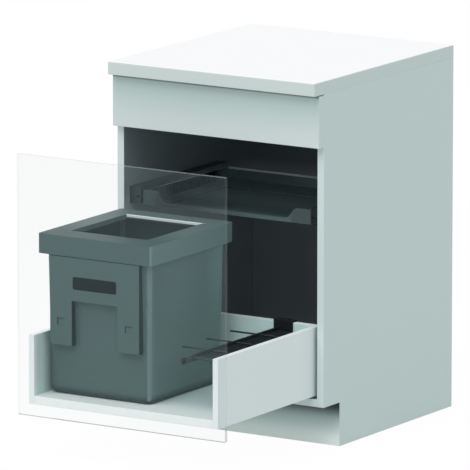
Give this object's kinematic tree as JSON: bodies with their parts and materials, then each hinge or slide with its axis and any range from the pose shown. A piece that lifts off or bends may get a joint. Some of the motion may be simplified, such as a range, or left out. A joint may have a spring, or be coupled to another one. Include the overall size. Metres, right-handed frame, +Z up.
{
  "type": "pull out trash cabinet",
  "caption": "Base cabinet with a pull-out waste drawer behind a clear front: lift-out bin with a bag frame, sliding tray above and a rod divider on the drawer's back.",
  "frame": {"origin": "middle of the plinth board's underside, on the floor, which is also the middle of the floor area that the open cabinet covers", "axes": "+Z up, +X to the right of someone facing the drawer, +Y to the wall"},
  "size_m": [0.6, 1.064, 0.922],
  "materials": {
    "white_board": "smooth white melamine-faced board",
    "worktop_laminate": "plain white laminate worktop, satin",
    "drawer_board": "white faced drawer board",
    "clear_acrylic": "clear polished acrylic sheet",
    "beech": "fluted beech dowel",
    "zinc": "zinc-plated steel",
    "runner_steel": "galvanised steel sheet",
    "roller_plastic": "white acetal rollers",
    "catch_plastic": "grey moulded catch",
    "bin_plastic": "dark slate moulded plastic",
    "bar_plastic": "pale grey moulded plastic",
    "tray_plastic": "near-black moulded plastic",
    "rail_plastic": "black moulded plastic",
    "pin_chrome": "bright chromed pin",
    "divider_metal": "black painted steel channel",
    "rod_steel": "grey plated steel rod"
  },
  "bodies": {
    "cabinet": {"side_panel_left": "white_board", "side_panel_right": "white_board", "bottom_panel": "white_board", "back_panel": "white_board", "stretcher_front": "white_board", "stretcher_rear": "white_board", "front_rail": "white_board", "false_front": "white_board", "plinth_board": "white_board", "worktop": "worktop_laminate", "carcass_dowels": "beech", "cam_discs": "zinc", "cam_bolts": "zinc", "worktop_screws": "zinc", "false_front_screws": "zinc", "runner_screws": "zinc", "runner_cabinet_left": "runner_steel", "runner_cabinet_right": "runner_steel", "tray_rail_left": "rail_plastic", "tray_rail_right": "rail_plastic", "tray_rail_pins": "pin_chrome"},
    "drawer": {"clear_front": "clear_acrylic", "drawer_side_left": "drawer_board", "drawer_side_right": "drawer_board", "drawer_bottom": "drawer_board", "drawer_front_rail": "drawer_board", "drawer_back": "drawer_board", "drawer_dowels": "beech", "runner_drawer_left": "runner_steel", "runner_drawer_right": "runner_steel", "runner_catch_left": "catch_plastic", "runner_catch_right": "catch_plastic"},
    "runner_middle_left": {"runner_mid_left": "runner_steel", "runner_rollers_left": "roller_plastic"},
    "runner_middle_right": {"runner_mid_right": "runner_steel", "runner_rollers_right": "roller_plastic"},
    "bin": {"waste_bin": "bin_plastic"},
    "bag_frame": {"bag_frame": "bin_plastic", "bag_bar": "bar_plastic"},
    "tray": {"tray": "tray_plastic", "tray_slide_left": "tray_plastic", "tray_slide_right": "tray_plastic"},
    "divider": {"divider_rail": "divider_metal", "divider_rods": "rod_steel", "divider_hook": "rail_plastic"}
  },
  "joints": [
    {"name": "drawer_slide", "type": "slide", "parent": "cabinet", "child": "drawer", "axis": [0, -1, 0], "range_m": [-0.437, 0.038]},
    {"name": "runner_left_slide", "type": "slide", "parent": "cabinet", "child": "runner_middle_left", "axis": [0, -1, 0], "range_m": [-0.2185, 0.019]},
    {"name": "runner_right_slide", "type": "slide", "parent": "cabinet", "child": "runner_middle_right", "axis": [0, -1, 0], "range_m": [-0.2185, 0.019]},
    {"name": "tray_slide", "type": "slide", "parent": "cabinet", "child": "tray", "axis": [0, -1, 0], "range_m": [0, 0.25]},
    {"name": "bin_lift", "type": "slide", "parent": "drawer", "child": "bin", "axis": [0, -0.06, 0.9982], "range_m": [0, 0.46]},
    {"name": "frame_lift", "type": "slide", "parent": "bin", "child": "bag_frame", "axis": [0, 0, 1], "range_m": [0, 0.1]},
    {"name": "divider_slide", "type": "slide", "parent": "drawer", "child": "divider", "axis": [1, 0, 0], "range_m": [-0.015, 0.045]}
  ],
  "couplings": [
    {"joint": "runner_left_slide", "follows": "drawer_slide", "ratio": 0.5},
    {"joint": "runner_right_slide", "follows": "drawer_slide", "ratio": 0.5}
  ]
}
